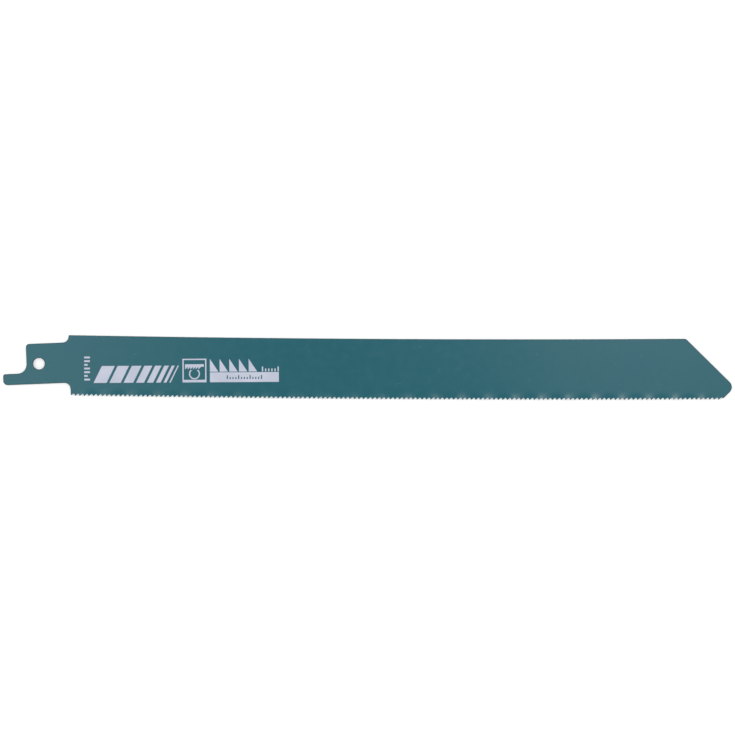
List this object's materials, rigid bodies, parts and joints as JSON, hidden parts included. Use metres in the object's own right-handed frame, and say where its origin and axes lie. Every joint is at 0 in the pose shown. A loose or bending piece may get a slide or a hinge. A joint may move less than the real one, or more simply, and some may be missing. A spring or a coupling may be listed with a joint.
{
  "type": "reciprocating saw blade",
  "caption": "Straight metal-cutting blade for a reciprocating saw: painted steel strip with fine wavy-set teeth, a sloped nose and a standard shank with a pin hole.",
  "frame": {"origin": "centre of the shank's pin hole, halfway through the steel", "axes": "+X along the tooth line towards the nose, +Y from the teeth towards the back edge, +Z out of the printed face; the blade lies flat on its unprinted face, -Z down"},
  "size_m": [0.2286, 0.0196, 0.0014],
  "materials": {
    "painted_steel": "smooth teal paint with a soft gloss, all over the steel",
    "printed_ink": "matt screen-printed ink, pale lavender grey"
  },
  "bodies": {
    "root": {"blade": "painted_steel", "printed_marks": "printed_ink"}
  },
  "joints": []
}
